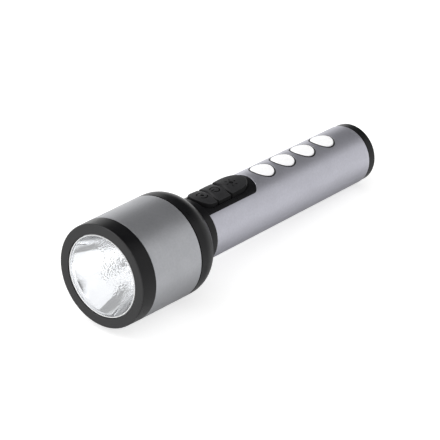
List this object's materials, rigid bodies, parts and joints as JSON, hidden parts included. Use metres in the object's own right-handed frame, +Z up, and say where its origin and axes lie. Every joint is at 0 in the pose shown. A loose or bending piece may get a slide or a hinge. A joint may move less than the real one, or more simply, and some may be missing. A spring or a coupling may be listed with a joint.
{
  "type": "flashlight",
  "caption": "Hand torch with a wide round head and clear lens, rubber keys and a row of round side lamps on a straight tube handle, and a screw-off tail cap over its batteries.",
  "frame": {"origin": "middle of the bottom of the torch's box, on the floor that the torch lies on", "axes": "+X from the head towards the tail, along the floor, with the torch's own axis 3.91 degrees below it towards the tail; +Y across the torch; +Z up through the keys and the side lamps"},
  "size_m": [0.1956, 0.0508, 0.0532],
  "materials": {
    "black_plastic": "satin black ABS",
    "black_rubber": "matt black silicone rubber",
    "grey_aluminium": "satin grey anodised aluminium",
    "bare_aluminium": "turned bare aluminium",
    "bright_chrome": "vacuum plated mirror finish",
    "clear_plastic": "clear polished lens",
    "diffuser_plastic": "milky white lamp lens",
    "led_yellow": "phosphor yellow under clear silicone",
    "circuit_board": "green solder mask",
    "spring_steel": "nickel plated steel",
    "brass": "plain brass strip",
    "cell_wrap": "plain blue-grey cell sleeve",
    "wire_red": "red PVC insulation",
    "wire_black": "black PVC insulation"
  },
  "bodies": {
    "torch": {"bezel_ring": "black_plastic", "front_lens": "clear_plastic", "lens_gasket": "black_rubber", "reflector": "bright_chrome", "main_led": "led_yellow", "led_board": "circuit_board", "board_screw_1": "spring_steel", "board_screw_2": "spring_steel", "heat_sink": "bare_aluminium", "head_sleeve": "grey_aluminium", "head_housing": "black_plastic", "handle_sleeve": "grey_aluminium", "handle_core": "black_plastic", "keypad_mat": "black_rubber", "switch_board": "circuit_board", "switch_front": "black_plastic", "switch_middle": "black_plastic", "switch_rear": "black_plastic", "lamp_board": "circuit_board", "side_led_1": "led_yellow", "side_led_2": "led_yellow", "side_led_3": "led_yellow", "side_led_4": "led_yellow", "side_lens_1": "diffuser_plastic", "side_lens_2": "diffuser_plastic", "side_lens_3": "diffuser_plastic", "side_lens_4": "diffuser_plastic", "contact_board": "circuit_board", "front_spring": "spring_steel", "battery_carrier": "black_plastic", "carrier_contact": "brass", "cell_1": "cell_wrap", "cell_2": "cell_wrap", "cell_3": "cell_wrap", "cell_link_front": "brass", "cell_link_rear": "brass", "led_wire_red": "wire_red", "led_wire_black": "wire_black", "battery_wire_red": "wire_red", "battery_wire_black": "wire_black", "lamp_wire_red": "wire_red", "lamp_wire_black": "wire_black"},
    "front_key": {"key_front": "black_rubber"},
    "middle_key": {"key_middle": "black_rubber"},
    "rear_key": {"key_rear": "black_rubber"},
    "front_plunger": {"plunger_front": "diffuser_plastic"},
    "middle_plunger": {"plunger_middle": "diffuser_plastic"},
    "rear_plunger": {"plunger_rear": "diffuser_plastic"},
    "tail_carriage": {"tail_spring": "spring_steel", "tail_washer": "spring_steel"},
    "tail": {"tail_cap": "black_plastic", "tail_seal": "black_rubber"}
  },
  "joints": [
    {"name": "key_front_press", "type": "slide", "parent": "torch", "child": "front_key", "axis": [-0.0682, 0, -0.9977], "range_m": [0, 0.0006], "stiffness_N_per_m": 1500, "springref_m": -0.0005},
    {"name": "key_middle_press", "type": "slide", "parent": "torch", "child": "middle_key", "axis": [-0.0682, 0, -0.9977], "range_m": [0, 0.0006], "stiffness_N_per_m": 1500, "springref_m": -0.0005},
    {"name": "key_rear_press", "type": "slide", "parent": "torch", "child": "rear_key", "axis": [-0.0682, 0, -0.9977], "range_m": [0, 0.0006], "stiffness_N_per_m": 1500, "springref_m": -0.0005},
    {"name": "plunger_front_press", "type": "slide", "parent": "torch", "child": "front_plunger", "axis": [-0.0682, 0, -0.9977], "range_m": [0, 0.0006]},
    {"name": "plunger_middle_press", "type": "slide", "parent": "torch", "child": "middle_plunger", "axis": [-0.0682, 0, -0.9977], "range_m": [0, 0.0006]},
    {"name": "plunger_rear_press", "type": "slide", "parent": "torch", "child": "rear_plunger", "axis": [-0.0682, 0, -0.9977], "range_m": [0, 0.0006]},
    {"name": "tail_back_off", "type": "slide", "parent": "torch", "child": "tail_carriage", "axis": [0.9977, 0, -0.0682], "range_m": [0, 0.0061]},
    {"name": "tail_unscrew", "type": "hinge", "parent": "tail_carriage", "child": "tail", "pos_m": [0.09162, 0, 0.01559], "axis": [0.9977, 0, -0.0682], "range_deg": [0, 1080]}
  ],
  "couplings": [
    {"joint": "plunger_front_press", "follows": "key_front_press", "ratio": 1},
    {"joint": "plunger_middle_press", "follows": "key_middle_press", "ratio": 1},
    {"joint": "plunger_rear_press", "follows": "key_rear_press", "ratio": 1},
    {"joint": "tail_back_off", "follows": "tail_unscrew", "m_per_rad": 0.00031831}
  ]
}
